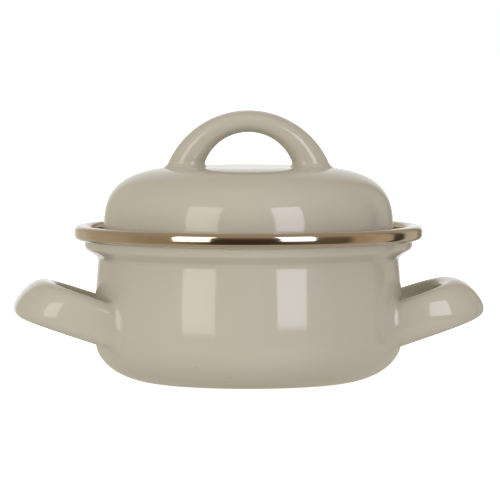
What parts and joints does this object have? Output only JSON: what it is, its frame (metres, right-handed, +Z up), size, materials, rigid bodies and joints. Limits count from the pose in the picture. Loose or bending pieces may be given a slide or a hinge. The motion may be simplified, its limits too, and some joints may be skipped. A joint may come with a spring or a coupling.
{
  "type": "mini casserole dish",
  "caption": "Small round enamelled steel casserole with loop side handles, a polished steel rim band and a lift-off domed lid with an arched handle.",
  "frame": {"origin": "middle of the base, on the table, on the pot's axis", "axes": "+X towards the right handle, -Y to the front, +Z up along the pot's axis"},
  "size_m": [0.1722, 0.128, 0.0998],
  "materials": {
    "enamel": "glossy vitreous enamel on steel",
    "band_steel": "polished stainless steel"
  },
  "bodies": {
    "pot": {"pot_body": "enamel", "rim_band": "band_steel", "left_handle_top": "enamel", "left_handle_bottom": "enamel", "right_handle_top": "enamel", "right_handle_bottom": "enamel"},
    "lid": {"lid_shell": "enamel", "lid_handle_front": "enamel", "lid_handle_back": "enamel"}
  },
  "joints": [
    {"name": "lid_lift", "type": "slide", "parent": "pot", "child": "lid", "axis": [0, 0, 1], "range_m": [0, 0.08]}
  ]
}
